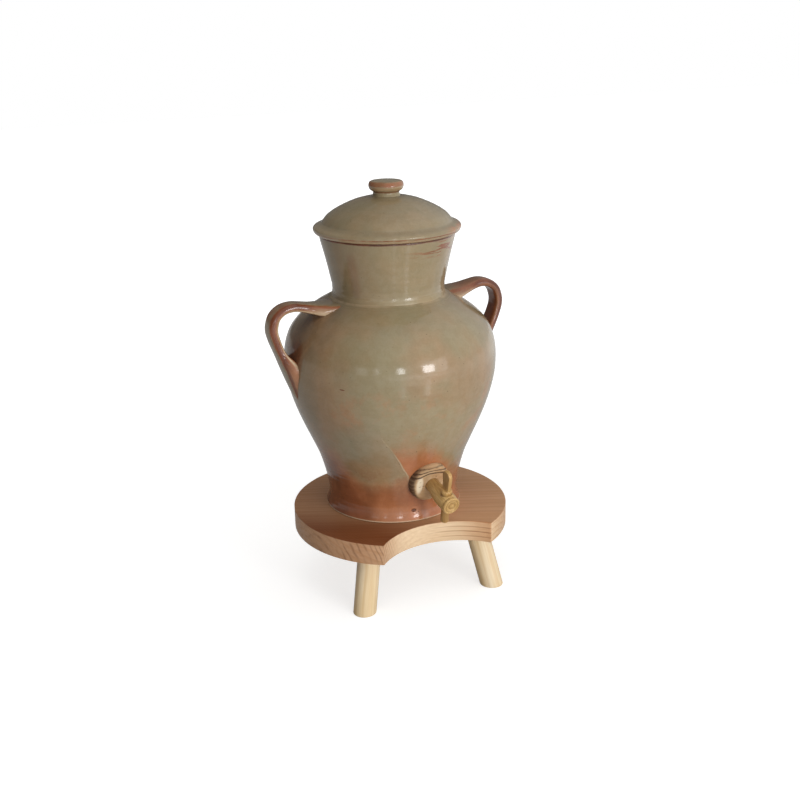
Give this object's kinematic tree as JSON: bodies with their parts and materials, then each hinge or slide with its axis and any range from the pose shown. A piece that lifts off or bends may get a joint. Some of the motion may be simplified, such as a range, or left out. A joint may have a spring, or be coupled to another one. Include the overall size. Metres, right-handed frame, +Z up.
{
  "type": "vinegar crock",
  "caption": "Lidded stoneware vinegar crock with strap handles, a cork bung and a turned wooden tap, standing on a low three-legged wooden stool notched under the spout.",
  "frame": {"origin": "on the floor, under the middle of the object's width and depth", "axes": "+Z up, -Y towards the front with the stool's notch and the tap, +X to the right seen from the front"},
  "size_m": [0.2784, 0.2447, 0.4474],
  "materials": {
    "crock_body": "olive-grey celadon glaze, running to red-brown at the foot",
    "left_handle": "olive-grey glaze, thin and orange-brown along the edges",
    "right_handle": "olive-grey glaze, thin and orange-brown along the edges",
    "lid": "olive-grey celadon glaze with an orange edge",
    "lid_knob": "olive-grey glaze with an orange edge",
    "tap_bung": "natural cork with dark streaks",
    "tap_body": "turned boxwood, waxed",
    "tap_key": "turned boxwood, waxed",
    "key_liner": "cork sleeve",
    "stool_board": "oiled pine, orange-brown",
    "front_left_leg": "plain pine dowel",
    "front_right_leg": "plain pine dowel",
    "back_leg": "plain pine dowel"
  },
  "bodies": {
    "stool": {"stool_board": "stool_board", "front_left_leg": "front_left_leg", "front_right_leg": "front_right_leg", "back_leg": "back_leg"},
    "crock": {"crock_body": "crock_body", "left_handle": "left_handle", "right_handle": "right_handle", "tap_bung": "tap_bung", "tap_body": "tap_body", "key_liner": "key_liner"},
    "lid": {"lid": "lid", "lid_knob": "lid_knob"},
    "key": {"tap_key": "tap_key"}
  },
  "joints": [
    {"name": "crock_lift", "type": "slide", "parent": "stool", "child": "crock", "axis": [0, 0, 1], "range_m": [0, 0.04]},
    {"name": "lid_lift", "type": "slide", "parent": "crock", "child": "lid", "axis": [0, 0, 1], "range_m": [0, 0.04]},
    {"name": "key_turn", "type": "hinge", "parent": "crock", "child": "key", "pos_m": [0.0129, -0.10687, 0.12391], "axis": [-0.0651, -0.2751, 0.9592], "continuous": true}
  ]
}
